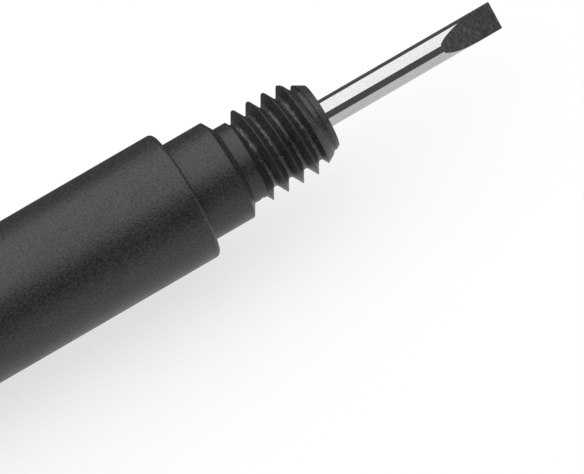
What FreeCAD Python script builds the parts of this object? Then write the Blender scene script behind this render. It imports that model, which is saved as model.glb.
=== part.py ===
"""A watchmaker's screwdriver with a swivel head, one solid for each piece.

The tool lies on a bench along X, with the blade's tip towards +X and +Z up. It rests
on one flat of its hexagonal collar and on the rim of its head. The origin is on the
bench, under the middle of the tool's length.
"""
import math
import os

import FreeCAD
import Part
from FreeCAD import Rotation, Vector

# Driving dimensions, in millimetres and degrees. A station is a distance along the
# axis from the barrel's front face: plus towards the tip, minus towards the head.
FIT = 0.02              # radial gap between pieces that are pressed together
RUN = 0.03              # radial gap between pieces that slide or turn
SLACK = 0.05            # clearance of parts that don't touch at all
PAST = 1.0              # how far a cutting body runs past the surface
SMALL_BEVEL = 0.10      # broken edges
BEVEL = 0.15

BLADE_R = 0.60
BLADE_TIP = 14.30
BLADE_REAR = -3.80
FLAT_START = 11.70      # where the ground flats leave the round rod
FLAT_END = 13.37        # where they become parallel
TIP_THICKNESS = 0.22
BLADE_TURN = 53         # turn of the blade's flats about the axis, from level

NOSE_REAR = -6.50
NOSE_END = 6.20
NOSE_END_R = 1.39
NOSE_MOUTH = 0.08       # countersink at the mouth of the blade's bore
SHANK_R = 1.68          # the part of the nose that is pressed into the barrel
PILOT_R = 2.18
PILOT_END = 1.80
RELIEF_R = 1.70
RELIEF_START = 2.09
RELIEF_END = 2.68
BORE_STEP = -4.10       # the blade's bore is wider behind this, for the stop
STOP_R = 0.78
STOP_GAP = 0.04         # between the blade and its stop
SHANK_BEVEL = 0.20
CHAMFER_START = 5.20

THREAD_R = 1.98         # M4 x 0.7, right-handed
THREAD_START = 2.84
THREAD_PITCH = 0.70
THREAD_FLANK = 30       # each flank's slope, in degrees from the radius
THREAD_DEPTH = 0.454
ROOT_FLAT = 0.088
GROOVE_STATION = 2.73   # the groove starts here, on the tool's +Y side

BARREL_R = 2.80
BARREL_REAR = -61.00
SOCKET_END = -6.60      # the bottom of the nose's socket
DRILL_CONE = 1.0        # length of the cone at a blind hole's end
FACE_DOME = 0.10        # how far the barrel's front face falls back to its rim
EDGE_ROUND = 0.20
GRIP_START = -12.0
GRIP_END = -26.0
GRIP_GROOVE = 0.50      # width of the groove at each end of the grip
GRIP_DEPTH = 0.15
MAGAZINE_R = 1.70
MAGAZINE_FRONT = -33.50
THREAD_FRONT = -54.50   # the plug's thread in the barrel, M4 x 0.5
THREAD_REAR = -59.00
PLUG_THREAD_R = 2.00
SEAL_R = 2.10

SCREW_STATION = -2.60
SCREW_R = 0.78          # M1.6 grub screw, along +Y
SCREW_OUTER = 2.55
SCREW_SLOT = 0.25
SCREW_SLOT_DEPTH = 0.55
SCREW_POINT = 0.30      # length of the cone that bears on the blade

COLLAR_FLATS = 8.00     # across the flats
COLLAR_FRONT = -28.00
COLLAR_REAR = -32.00
COLLAR_CORNER_R = 4.50
COLLAR_SLANT = 0.35     # how far the turned-off corners reach along the collar

RING_REAR = -62.50
FLANGE_REAR = -65.50
BOSS_REAR = -67.00
BOSS_R = 1.50
SEAL_STATION = -60.10
SEAL_SECTION_R = 0.235
SEAL_GROOVE_R = 1.58
SEAL_GROOVE = 0.60
PLUG_FRONT = -54.60
PLUG_FLUTE_R = 0.16
PLUG_FLUTE_LIFT = 0.04  # of the flutes' axes over the flange
PLUG_FLUTE_INSET = 0.30
HOLDER_FRONT = -47.00
HOLDER_R = 1.62
PEG_R = 0.78
PEG_LENGTH = 2.20
SPARE_COUNT = 3
SPARE_RING_R = 0.82     # circle that the spare blades stand on
SPARE_REAR = -52.48

SPINDLE_R = 0.98
SPINDLE_FRONT = -58.10
RACE_FRONT = -67.00     # a 2 x 5 x 2.3 ball bearing
RACE_REAR = -69.30
RACE_INNER_R = 1.50
RACE_OUTER_R = 2.00
RACE_OUTSIDE_R = 2.50
BALL_R = 0.40
BALL_COUNT = 7
SHIELD_SEAT_R = 2.16
SHIELD_SEAT = 0.30
SHIELD_THICKNESS = 0.15
CAGE_WALL = 0.30
CAGE_WIDTH = 1.10
CAP_SCREW_R = 0.48      # M1 screw that holds the bearing on the spindle
CAP_SCREW_FRONT = -66.50
CAP_SCREW_HEAD_R = 1.35
CAP_SCREW_HEAD = 0.70
CAP_SCREW_SLOT = 0.30
CAP_SCREW_SLOT_DEPTH = 0.35
CAP_SCREW_BOTTOM = 0.30 # how much deeper the tapped hole is
WASHER = 0.30

HEAD_FRONT = -66.00
HEAD_FRONT_R = 2.60
HEAD_R = 4.00
HEAD_FLARE_END = -69.50
HEAD_REAR = -75.00
HEAD_LIP = 0.95
HEAD_LIP_R = 1.62
HEAD_ROUND = 0.35
CAP_SEAT = -71.50
CAP_R = 3.30
SKIRT_R = 2.20
CAP_CAVITY = -72.30
DISH_R = 7.0            # spherical dish for the fingertip
DISH_DEPTH = 0.70
FLUTE_COUNT = 18
FLUTE_R = 0.34
FLUTE_DEPTH = 0.20

# Worked out from the sizes above.
ORIGIN = Vector(0, 0, 0)
ALONG = Vector(1, 0, 0)
MIDDLE = (BLADE_TIP + HEAD_REAR) / 2
ON_BENCH = Vector(-MIDDLE, 0, COLLAR_FLATS / 2)
BALL_RING_R = (RACE_INNER_R + RACE_OUTER_R) / 2
BALL_STATION = (RACE_FRONT + RACE_REAR) / 2


def turned(*outline):
    """A solid of revolution about the axis, from (station, radius) corners."""
    corners = [Vector(station, 0, radius) for station, radius in outline]
    face = Part.Face(Part.makePolygon(corners + corners[:1]))
    return face.revolve(ORIGIN, ALONG, 360)


def rod(start, end, radius):
    """A cylinder on the axis between two stations."""
    return Part.makeCylinder(radius, end - start, Vector(start, 0, 0), ALONG)


def tube(start, end, inner, outer):
    """A plain ring on the axis between two stations."""
    return turned((start, inner), (end, inner), (end, outer), (start, outer))


def around(shape, count, first=0.0):
    """Copies of a shape spaced evenly around the axis."""
    copies = []
    for i in range(count):
        copy = shape.copy()
        copy.rotate(ORIGIN, ALONG, first + 360 * i / count)
        copies.append(copy)
    return copies


def rings(solid, places):
    """The circular edges of a solid at the given (station, radius) places."""
    found = []
    for edge in solid.Edges:
        if not isinstance(edge.Curve, Part.Circle):
            continue
        for station, radius in places:
            here = abs(edge.Curve.Center.x - station) < 1e-4
            if here and abs(edge.Curve.Radius - radius) < 1e-4:
                found.append(edge)
    return found


def rounded(solid, size, *places):
    """A solid with its circular edges at those places rounded."""
    return solid.makeFillet(size, rings(solid, places))


def bevelled(solid, size, *places):
    """A solid with its circular edges at those places chamfered."""
    return solid.makeChamfer(size, rings(solid, places))


def slot(width, depth, top, direction, length):
    """A screwdriver slot, cut down from a screw's top against its direction."""
    box = Part.makeBox(length, width, depth, Vector(-length / 2, -width / 2, -depth))
    box.Placement = FreeCAD.Placement(top, Rotation(Vector(0, 0, 1), direction)) * box.Placement
    return box


# ---- the blade and what holds it ------------------------------------------------------
def ground_blade():
    """A round rod with two ground flats, which leave a tip as wide as the rod."""
    blade = rod(BLADE_REAR, BLADE_TIP, BLADE_R)
    blade = bevelled(blade, SMALL_BEVEL, (BLADE_REAR, BLADE_R))
    half = TIP_THICKNESS / 2
    beyond = BLADE_TIP + PAST
    side = 2 * BLADE_R
    profile = [(FLAT_START, BLADE_R), (FLAT_END, half), (beyond, half), (beyond, side), (FLAT_START, side)]
    corners = [Vector(x, -side, z) for x, z in profile]
    waste = Part.Face(Part.makePolygon(corners + corners[:1])).extrude(Vector(0, 2 * side, 0))
    for cut in around(waste, 2):
        blade = blade.cut(cut)
    return blade


def blade():
    """The working blade, turned in the nose as it is used."""
    piece = ground_blade()
    piece.rotate(ORIGIN, ALONG, BLADE_TURN)
    return piece


def thread_groove():
    """The groove between the thread's crests, as one body wound round the axis."""
    slope = math.tan(math.radians(THREAD_FLANK))
    root = THREAD_R - THREAD_DEPTH
    outside = THREAD_R + SLACK
    half_root = ROOT_FLAT / 2
    half_outside = half_root + (outside - root) * slope
    profile = [(root, -half_root), (outside, -half_outside), (outside, half_outside), (root, half_root)]
    corners = [Vector(r, 0, z) for r, z in profile]
    section = Part.makePolygon(corners + corners[:1])
    length = NOSE_END + THREAD_PITCH / 2 - GROOVE_STATION
    path = Part.Wire(Part.makeHelix(THREAD_PITCH, length, THREAD_R).Edges)
    groove = path.makePipeShell([section], True, True)
    groove.rotate(ORIGIN, Vector(0, 1, 0), 90)
    groove.rotate(ORIGIN, ALONG, 90)
    groove.translate(Vector(GROOVE_STATION, 0, 0))
    return groove


def screw_hole():
    """The grub screw's hole, from the blade's bore out through the barrel."""
    return Part.makeCylinder(SCREW_R + RUN, BARREL_R + PAST, Vector(SCREW_STATION, 0, 0), Vector(0, 1, 0))


def nose():
    """The nosepiece: press shank, pilot neck, relief, thread, chamfer and bore."""
    bore = BLADE_R + RUN
    rear = STOP_R + FIT
    body = turned(
        (NOSE_REAR, rear), (BORE_STEP, rear), (BORE_STEP, bore), (NOSE_END - NOSE_MOUTH, bore),
        (NOSE_END, bore + NOSE_MOUTH), (NOSE_END, NOSE_END_R), (CHAMFER_START, THREAD_R),
        (THREAD_START, THREAD_R), (RELIEF_END, RELIEF_R), (RELIEF_START, RELIEF_R),
        (PILOT_END, PILOT_R), (0, PILOT_R), (0, SHANK_R), (NOSE_REAR, SHANK_R),
    )
    body = bevelled(body, SHANK_BEVEL, (NOSE_REAR, SHANK_R))
    body = body.cut(thread_groove())
    return body.cut(screw_hole())


def blade_stop():
    """A plug behind the blade, with a small tip that the blade stands against."""
    tip = BLADE_R - FIT
    front = BLADE_REAR - STOP_GAP
    return turned((NOSE_REAR, 0), (front, 0), (front, tip), (BORE_STEP - FIT, tip),
                  (BORE_STEP - FIT, STOP_R), (NOSE_REAR, STOP_R))


def blade_screw():
    """The slotted grub screw, with a short point towards the blade."""
    inner = BLADE_R + SLACK
    base = inner + SCREW_POINT
    outward = Vector(0, 1, 0)
    point = Part.makeCone(SCREW_R / 2, SCREW_R, SCREW_POINT, Vector(SCREW_STATION, inner, 0), outward)
    screw = Part.makeCylinder(SCREW_R, SCREW_OUTER - base, Vector(SCREW_STATION, base, 0), outward)
    top = Vector(SCREW_STATION, SCREW_OUTER, 0)
    cut = slot(SCREW_SLOT, SCREW_SLOT_DEPTH, top, outward, 4 * SCREW_R)
    return screw.fuse(point).removeSplitter().cut(cut)


# ---- the handle -----------------------------------------------------------------------
def barrel():
    """The tubular handle: nose socket in front, blade magazine and thread behind."""
    socket = SHANK_R + FIT
    body = turned(
        (BARREL_REAR, 0), (0, 0), (0, PILOT_R - SLACK), (-FACE_DOME, BARREL_R),
        (GRIP_START, BARREL_R), (GRIP_START, BARREL_R - GRIP_DEPTH),
        (GRIP_START - GRIP_GROOVE, BARREL_R - GRIP_DEPTH), (GRIP_START - GRIP_GROOVE, BARREL_R),
        (GRIP_END + GRIP_GROOVE, BARREL_R), (GRIP_END + GRIP_GROOVE, BARREL_R - GRIP_DEPTH),
        (GRIP_END, BARREL_R - GRIP_DEPTH), (GRIP_END, BARREL_R), (BARREL_REAR, BARREL_R),
    )
    body = rounded(body, EDGE_ROUND, (-FACE_DOME, BARREL_R))
    body = bevelled(body, SMALL_BEVEL, (BARREL_REAR, BARREL_R))
    front_hole = turned((SOCKET_END - DRILL_CONE, 0), (PAST, 0), (PAST, socket), (SOCKET_END, socket))
    rear_hole = turned(
        (BARREL_REAR - PAST, 0), (MAGAZINE_FRONT + DRILL_CONE, 0), (MAGAZINE_FRONT, MAGAZINE_R),
        (THREAD_FRONT, MAGAZINE_R), (THREAD_FRONT, PLUG_THREAD_R), (THREAD_REAR, PLUG_THREAD_R),
        (THREAD_REAR, SEAL_R), (BARREL_REAR - PAST, SEAL_R),
    )
    return body.cut(front_hole).cut(rear_hole).cut(screw_hole())


def anti_roll_collar():
    """The hexagonal collar, a flat downwards, with its corners turned off."""
    length = COLLAR_FRONT - COLLAR_REAR
    corner = COLLAR_FLATS / 2 / math.cos(math.radians(30))
    points = []
    for i in range(7):
        angle = math.radians(60 * i)
        points.append(Vector(COLLAR_REAR, corner * math.cos(angle), corner * math.sin(angle)))
    prism = Part.Face(Part.makePolygon(points)).extrude(Vector(length, 0, 0))
    end_r = COLLAR_FLATS / 2
    front = COLLAR_FRONT - COLLAR_SLANT
    rear = COLLAR_REAR + COLLAR_SLANT
    blank = turned(
        (COLLAR_REAR, 0), (COLLAR_FRONT, 0), (COLLAR_FRONT, end_r),
        (front, COLLAR_CORNER_R), (rear, COLLAR_CORNER_R), (COLLAR_REAR, end_r),
    )
    bore = rod(COLLAR_REAR - PAST, COLLAR_FRONT + PAST, BARREL_R + FIT)
    return prism.common(blank).cut(bore)


# ---- the tail, which unscrews to reach the spare blades --------------------------------
def size_ring():
    """The coloured ring between the barrel and the tail plug's flange."""
    rear = RING_REAR + FIT
    front = BARREL_REAR - FIT
    ring = tube(rear, front, SEAL_R - FIT, BARREL_R)
    return bevelled(ring, SMALL_BEVEL, (rear, BARREL_R), (front, BARREL_R))


def tail_o_ring():
    """The rubber seal in the plug's groove."""
    middle = SEAL_GROOVE_R + FIT + SEAL_SECTION_R
    return Part.makeTorus(middle, SEAL_SECTION_R, Vector(SEAL_STATION, 0, 0), ALONG)


def tail_plug():
    """The threaded plug, with the seal's groove, a fluted flange and a rear boss."""
    thread_r = PLUG_THREAD_R - RUN
    thread_rear = THREAD_REAR - SLACK
    seal_r = SEAL_R - SLACK
    half_groove = SEAL_GROOVE / 2
    body = turned(
        (BOSS_REAR, 0), (PLUG_FRONT, 0), (PLUG_FRONT, thread_r), (thread_rear, thread_r),
        (thread_rear, seal_r), (SEAL_STATION + half_groove, seal_r),
        (SEAL_STATION + half_groove, SEAL_GROOVE_R), (SEAL_STATION - half_groove, SEAL_GROOVE_R),
        (SEAL_STATION - half_groove, seal_r), (RING_REAR, seal_r), (RING_REAR, BARREL_R),
        (FLANGE_REAR, BARREL_R), (FLANGE_REAR, BOSS_R), (BOSS_REAR, BOSS_R),
    )
    body = bevelled(body, BEVEL, (PLUG_FRONT, thread_r), (RING_REAR, BARREL_R), (FLANGE_REAR, BARREL_R))
    body = body.cut(rod(BOSS_REAR - PAST, SPINDLE_FRONT + SLACK, SPINDLE_R + FIT))
    body = body.cut(rod(PLUG_FRONT - PEG_LENGTH - SLACK, PLUG_FRONT + PAST, PEG_R + FIT))
    start = Vector(FLANGE_REAR + PLUG_FLUTE_INSET, 0, BARREL_R + PLUG_FLUTE_LIFT)
    length = RING_REAR - FLANGE_REAR - 2 * PLUG_FLUTE_INSET
    groove = Part.makeCylinder(PLUG_FLUTE_R, length, start, ALONG)
    for cut in around(groove, FLUTE_COUNT):
        body = body.cut(cut)
    return body


def blade_holder():
    """The plastic holder on the plug's front, with a blind hole for each spare."""
    peg_end = PLUG_FRONT - PEG_LENGTH
    body = turned((peg_end, 0), (HOLDER_FRONT, 0), (HOLDER_FRONT, HOLDER_R),
                  (PLUG_FRONT, HOLDER_R), (PLUG_FRONT, PEG_R), (peg_end, PEG_R))
    body = bevelled(body, SMALL_BEVEL, (HOLDER_FRONT, HOLDER_R))
    bottom = SPARE_REAR - FIT
    start = Vector(bottom, 0, SPARE_RING_R)
    hole = Part.makeCylinder(BLADE_R + FIT, HOLDER_FRONT + PAST - bottom, start, ALONG)
    for cut in around(hole, SPARE_COUNT):
        body = body.cut(cut)
    return body


def spare_blades():
    """The spare blades, the same as the working one, tips forward in the holder."""
    spare = ground_blade()
    spare.translate(Vector(SPARE_REAR - BLADE_REAR, 0, SPARE_RING_R))
    return Part.makeCompound(around(spare, SPARE_COUNT))


# ---- the swivel head and its bearing ----------------------------------------------------
def spindle():
    """The hardened pin in the plug, tapped at its rear for the retaining screw."""
    rear = RACE_REAR + SLACK
    pin = rod(rear, SPINDLE_FRONT, SPINDLE_R)
    pin = bevelled(pin, SMALL_BEVEL, (SPINDLE_FRONT, SPINDLE_R))
    return pin.cut(rod(rear - PAST, CAP_SCREW_FRONT + CAP_SCREW_BOTTOM, CAP_SCREW_R + FIT))


def ball_track():
    """The ring-shaped track that the balls run in, a little wider than a ball."""
    return Part.makeTorus(BALL_RING_R, BALL_R + RUN, Vector(BALL_STATION, 0, 0), ALONG)


def bearing_inner_race():
    """The bearing's inner race, clamped on the spindle."""
    return tube(RACE_REAR, RACE_FRONT, SPINDLE_R + FIT, RACE_INNER_R).cut(ball_track())


def bearing_outer_race():
    """The bearing's outer race, with a seat for a shield at each end."""
    front = RACE_FRONT - SHIELD_SEAT
    rear = RACE_REAR + SHIELD_SEAT
    race = turned(
        (RACE_REAR, SHIELD_SEAT_R), (rear, SHIELD_SEAT_R), (rear, RACE_OUTER_R), (front, RACE_OUTER_R),
        (front, SHIELD_SEAT_R), (RACE_FRONT, SHIELD_SEAT_R), (RACE_FRONT, RACE_OUTSIDE_R),
        (RACE_REAR, RACE_OUTSIDE_R),
    )
    return race.cut(ball_track())


def bearing_balls():
    """The balls, evenly spaced around the track."""
    ball = Part.makeSphere(BALL_R, Vector(BALL_STATION, 0, BALL_RING_R))
    return Part.makeCompound(around(ball, BALL_COUNT))


def ball_cage():
    """The cage that keeps the balls apart, with a round pocket for each."""
    half = CAGE_WIDTH / 2
    inner = BALL_RING_R - CAGE_WALL / 2
    cage = tube(BALL_STATION - half, BALL_STATION + half, inner, inner + CAGE_WALL)
    pocket = Part.makeCylinder(BALL_R + RUN, RACE_OUTSIDE_R, Vector(BALL_STATION, 0, 0), Vector(0, 0, 1))
    for cut in around(pocket, BALL_COUNT):
        cage = cage.cut(cut)
    return cage


def bearing_shields():
    """The two thin shields in the outer race, clear of the inner one."""
    inner = RACE_INNER_R + SMALL_BEVEL
    outer = SHIELD_SEAT_R - FIT
    shields = []
    for start in (RACE_FRONT - SHIELD_SEAT + FIT, RACE_REAR + SHIELD_SEAT - SHIELD_THICKNESS - FIT):
        shields.append(tube(start, start + SHIELD_THICKNESS, inner, outer))
    return Part.makeCompound(shields)


def retaining_washer():
    """The washer that bears on the inner race only."""
    return tube(RACE_REAR - WASHER, RACE_REAR, CAP_SCREW_R + SLACK, RACE_INNER_R - SLACK)


def retaining_screw():
    """The slotted cheese-head screw in the spindle's end."""
    under = RACE_REAR - WASHER
    top = under - CAP_SCREW_HEAD
    screw = turned((top, 0), (CAP_SCREW_FRONT, 0), (CAP_SCREW_FRONT, CAP_SCREW_R),
                   (under, CAP_SCREW_R), (under, CAP_SCREW_HEAD_R), (top, CAP_SCREW_HEAD_R))
    screw = bevelled(screw, SMALL_BEVEL, (top, CAP_SCREW_HEAD_R))
    cut = slot(CAP_SCREW_SLOT, CAP_SCREW_SLOT_DEPTH, Vector(top, 0, 0), -ALONG, 4 * CAP_SCREW_HEAD_R)
    return screw.cut(cut)


def head_shell():
    """The swivel head: flared front, fluted rim, bearing pocket and cap seat."""
    lip = HEAD_FRONT - HEAD_LIP
    pocket = RACE_OUTSIDE_R + FIT
    body = turned(
        (HEAD_REAR, CAP_R), (CAP_SEAT, CAP_R), (CAP_SEAT, pocket), (lip, pocket), (lip, HEAD_LIP_R),
        (HEAD_FRONT, HEAD_LIP_R), (HEAD_FRONT, HEAD_FRONT_R), (HEAD_FLARE_END, HEAD_R), (HEAD_REAR, HEAD_R),
    )
    body = rounded(body, HEAD_ROUND, (HEAD_REAR, HEAD_R), (HEAD_FLARE_END, HEAD_R))
    body = bevelled(body, BEVEL, (HEAD_FRONT, HEAD_FRONT_R))
    centre = HEAD_R - FLUTE_DEPTH + FLUTE_R
    rear = HEAD_REAR + 2 * HEAD_ROUND
    flute = Part.makeCylinder(FLUTE_R, HEAD_FLARE_END - 2 * HEAD_ROUND - rear, Vector(rear, 0, centre), ALONG)
    for cut in around(flute, FLUTE_COUNT, first=180 / FLUTE_COUNT):
        body = body.cut(cut)
    return body


def head_cap():
    """The dished finger rest, whose skirt holds the outer race in its pocket."""
    skirt_end = RACE_REAR - FIT
    seat = CAP_SEAT - FIT
    outer = CAP_R - FIT
    skirt_outer = RACE_OUTSIDE_R
    body = turned(
        (HEAD_REAR, 0), (CAP_CAVITY, 0), (CAP_CAVITY, SKIRT_R), (skirt_end, SKIRT_R),
        (skirt_end, skirt_outer), (seat, skirt_outer), (seat, outer), (HEAD_REAR, outer),
    )
    body = rounded(body, BEVEL, (HEAD_REAR, outer))
    dish = Part.makeSphere(DISH_R, Vector(HEAD_REAR + DISH_DEPTH - DISH_R, 0, 0))
    return body.cut(dish)


PIECES = [
    blade, nose, blade_stop, blade_screw, barrel, anti_roll_collar, size_ring, tail_o_ring, tail_plug,
    blade_holder, spare_blades, spindle, bearing_inner_race, bearing_outer_race, bearing_balls, ball_cage,
    bearing_shields, retaining_washer, retaining_screw, head_shell, head_cap,
]


def main():
    """Make every piece, set it on the bench and write it out."""
    os.makedirs("parts", exist_ok=True)
    for make in PIECES:
        shape = make()
        shape.translate(ON_BENCH)
        shape.exportStep("parts/" + make.__name__ + ".step")
        box = shape.optimalBoundingBox()
        print(f"{make.__name__:20s} {len(shape.Solids)} solid, valid {shape.isValid()}, "
              f"{shape.Volume:9.3f} mm3, x {box.XMin:.2f} to {box.XMax:.2f}, z {box.ZMin:.2f} to {box.ZMax:.2f}")


main()
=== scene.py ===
"""The finished look of a watchmaker's screwdriver: its pieces, their finishes and the studio.

Pieces are modelled in millimetres about the tool's axis. A station is a distance along that
axis from the barrel's front face: plus towards the blade's tip, minus towards the head. Each
finished piece is then put in its place in the frame.
"""
import logging
import math
from collections import Counter
from collections.abc import Callable, Iterator, Mapping
from contextlib import contextmanager
from dataclasses import dataclass, field, replace
from enum import Enum

import bpy
from mathutils import Matrix, Vector


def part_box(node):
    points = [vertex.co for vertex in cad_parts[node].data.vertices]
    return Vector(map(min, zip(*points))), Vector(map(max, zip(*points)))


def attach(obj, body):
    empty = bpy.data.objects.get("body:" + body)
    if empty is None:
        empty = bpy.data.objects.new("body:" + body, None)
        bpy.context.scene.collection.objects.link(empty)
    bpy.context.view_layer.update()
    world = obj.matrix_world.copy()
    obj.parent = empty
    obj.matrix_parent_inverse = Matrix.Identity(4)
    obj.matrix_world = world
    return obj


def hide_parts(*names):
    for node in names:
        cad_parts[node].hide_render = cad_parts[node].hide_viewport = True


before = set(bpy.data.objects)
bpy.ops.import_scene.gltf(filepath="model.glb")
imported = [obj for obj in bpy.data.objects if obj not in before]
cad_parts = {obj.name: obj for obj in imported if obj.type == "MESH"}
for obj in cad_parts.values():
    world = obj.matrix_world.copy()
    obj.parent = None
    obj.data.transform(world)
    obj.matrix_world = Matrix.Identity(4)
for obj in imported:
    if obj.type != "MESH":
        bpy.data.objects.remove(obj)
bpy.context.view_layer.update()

Piece = bpy.types.Object
Outline = list[tuple[float, float]]
Colour = tuple[float, float, float, float]
Socket = bpy.types.NodeSocket
Feed = Socket | float | Colour | Vector
Given = Mapping[str, Socket]

MM = 0.001
STEPS = 128                       # facets round a turned piece
ARC_STEPS = 5                     # facets along a rounded corner
SMOOTH = math.radians(32)         # sharper edges than this stay crisp
MERGE = 0.0002                    # points nearer than this are one point
FOLD_ROUNDS = 4                   # how often a piece is searched for folded faces
FULL_TURN = 2 * math.pi
QUARTER_TURN = math.pi / 2
FLANK = math.radians(30)          # half the angle of a screw thread
MARK_WANDER = 0.02                # how far a turning mark strays, in millimetres

# Roundings of turned edges, from one that is only broken to one that a hand meets.
HAIR_EASE = 0.03
FINE_EASE = 0.04
SMALL_EASE = 0.05
SIDE_EASE = 0.09
EDGE_EASE = 0.10
BROAD_EASE = 0.12
BALL_END = 0.95                   # rounding of a milling tool's end, in its radii
log = logging.getLogger("screwdriver")


# ---- places in the frame ----------------------------------------------------------------
BARREL_LOW, BARREL_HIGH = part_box("barrel")
FACE = Vector((BARREL_HIGH.x, 0, (BARREL_LOW.z + BARREL_HIGH.z) / 2))


@dataclass(frozen=True)
class Span:
    """The stations and the radius that a piece takes up, in millimetres."""

    rear: float
    front: float
    radius: float

    @classmethod
    def of(cls, node: str) -> "Span":
        """Measures a node of the frame.

        Args:
            node: the node's name.

        Returns:
            Its span about the tool's axis.
        """
        low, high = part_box(node)
        return cls((low.x - FACE.x) / MM, (high.x - FACE.x) / MM, (high.z - low.z) / 2 / MM)


class Body(Enum):
    """The moving bodies that pieces ride on."""

    HANDLE = "handle"
    BLADE = "working_blade"
    GRUB_SCREW = "grub_screw"
    SEAL = "tail_seal"
    TAIL = "tail"
    HEAD = "head"


class Slot(Enum):
    """The record's material slots for the new pieces."""

    BLADE_STEEL = "blade_steel"
    BLACK_NOSE = "black_nose"
    BLACK_BARREL = "black_barrel"
    PLAIN_STEEL = "plain_steel"
    RED_RING = "red_ring"
    SEAL_RUBBER = "seal_rubber"


# ---- work on the bench ------------------------------------------------------------------
def only(piece: Piece) -> None:
    """Selects one piece and nothing else.

    Args:
        piece: the piece, which also becomes the active one.
    """
    bpy.ops.object.select_all(action="DESELECT")
    piece.select_set(True)
    bpy.context.view_layer.objects.active = piece


@contextmanager
def editing(piece: Piece, everything: bool = True) -> Iterator[None]:
    """Opens a piece in edit mode and closes it afterwards.

    Args:
        piece: the piece.
        everything: whether all of it is selected first.

    Yields:
        Nothing, while the piece is open.
    """
    only(piece)
    bpy.ops.object.mode_set(mode="EDIT")
    if everything:
        bpy.ops.mesh.select_all(action="SELECT")
    yield
    bpy.ops.object.mode_set(mode="OBJECT")


def eased(*corners: tuple[float, ...]) -> Outline:
    """Rounds the corners of an outline.

    Args:
        corners: (station, radius) of each corner, with the rounding's radius third where it has one.

    Returns:
        The outline's points, with an arc at each rounded corner.
    """
    points = []
    for index, corner in enumerate(corners):
        here = Vector(corner[:2])
        if len(corner) == 2:
            points.append(tuple(here))
            continue
        before = (Vector(corners[index - 1][:2]) - here).normalized()
        after = (Vector(corners[(index + 1) % len(corners)][:2]) - here).normalized()
        half = before.angle(after) / 2
        middle = here + (before + after).normalized() * corner[2] / math.sin(half)
        first = here + before * corner[2] / math.tan(half) - middle
        last = here + after * corner[2] / math.tan(half) - middle
        for step in range(ARC_STEPS + 1):
            spoke = first.slerp(last, step / ARC_STEPS).normalized() * corner[2]
            points.append(tuple(middle + spoke))
    return points


def plane(name: str, size: float, middle: tuple[float, float, float] = (0, 0, 0)) -> Piece:
    """Adds a level square.

    Args:
        name: its name.
        size: the length of its sides.
        middle: where its middle is.

    Returns:
        The square.
    """
    bpy.ops.object.select_all(action="DESELECT")
    bpy.ops.mesh.primitive_plane_add(size=size, location=middle)
    piece = bpy.context.object
    piece.name = name
    return piece


def wire(name: str, outline: Outline, closed: bool) -> Piece:
    """Draws an outline as a wire, station along X and radius along Z.

    Args:
        name: the new piece's name.
        outline: the points, in order.
        closed: whether the last point joins the first.

    Returns:
        The wire.
    """
    piece = plane(name, 1)
    path = outline + outline[:1] if closed else outline
    with editing(piece):
        bpy.ops.mesh.merge(type="CENTER")
        bpy.ops.transform.translate(value=(path[0][0], 0, path[0][1]))
        for start, end in zip(path, path[1:]):
            step = (end[0] - start[0], 0, end[1] - start[1])
            bpy.ops.mesh.extrude_region_move(TRANSFORM_OT_translate={"value": step})
        bpy.ops.mesh.select_all(action="SELECT")
        bpy.ops.mesh.remove_doubles(threshold=MERGE)
    return piece


def turned(name: str, outline: Outline, steps: int = STEPS) -> Piece:
    """Spins an outline round the axis, as on a lathe.

    Args:
        name: the new piece's name.
        outline: its (station, radius) points. It is closed unless it starts on the axis.
        steps: facets round the piece.

    Returns:
        The closed solid.
    """
    piece = wire(name, outline, closed=outline[0][1] > MERGE)
    with editing(piece):
        bpy.ops.mesh.spin(steps=steps, angle=FULL_TURN, center=(0, 0, 0), axis=(1, 0, 0))
        bpy.ops.mesh.select_all(action="SELECT")
        bpy.ops.mesh.remove_doubles(threshold=MERGE)
        bpy.ops.mesh.normals_make_consistent(inside=False)
    return piece


def prism(name: str, outline: Outline, width: float) -> Piece:
    """Fills an outline and extrudes it sideways, evenly about the axis.

    Args:
        name: the new piece's name.
        outline: its points, station along X and height along Z.
        width: its full width along Y.

    Returns:
        The closed solid.
    """
    piece = wire(name, outline, closed=True)
    with editing(piece):
        bpy.ops.transform.translate(value=(0, -width / 2, 0))
        bpy.ops.mesh.edge_face_add()
        bpy.ops.mesh.extrude_region_move(TRANSFORM_OT_translate={"value": (0, width, 0)})
        bpy.ops.mesh.select_all(action="SELECT")
        bpy.ops.mesh.normals_make_consistent(inside=False)
    return piece


def put(piece: Piece, place: tuple[float, float, float], turn: tuple[float, float, float]) -> None:
    """Turns a piece, moves it, and keeps both in its mesh.

    Args:
        piece: the piece.
        place: where its origin goes.
        turn: Euler angles about X, Y and Z, in radians.
    """
    only(piece)
    piece.rotation_euler = turn
    piece.location = place
    bpy.ops.object.transform_apply(location=True, rotation=True, scale=True)


def repeat(piece: Piece, count: int) -> None:
    """Copies a piece's mesh evenly round the axis, within the piece."""
    sweep = FULL_TURN * (count - 1) / count
    with editing(piece):
        bpy.ops.mesh.spin(steps=count - 1, dupli=True, angle=sweep, center=(0, 0, 0), axis=(1, 0, 0))


def finish_modifier(piece: Piece, modifier: bpy.types.Modifier) -> None:
    """Applies a modifier to its piece."""
    only(piece)
    bpy.ops.object.modifier_apply(modifier=modifier.name)


class Cut(Enum):
    """What a tool does to a piece."""

    AWAY = "DIFFERENCE"
    KEEP = "INTERSECT"


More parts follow.
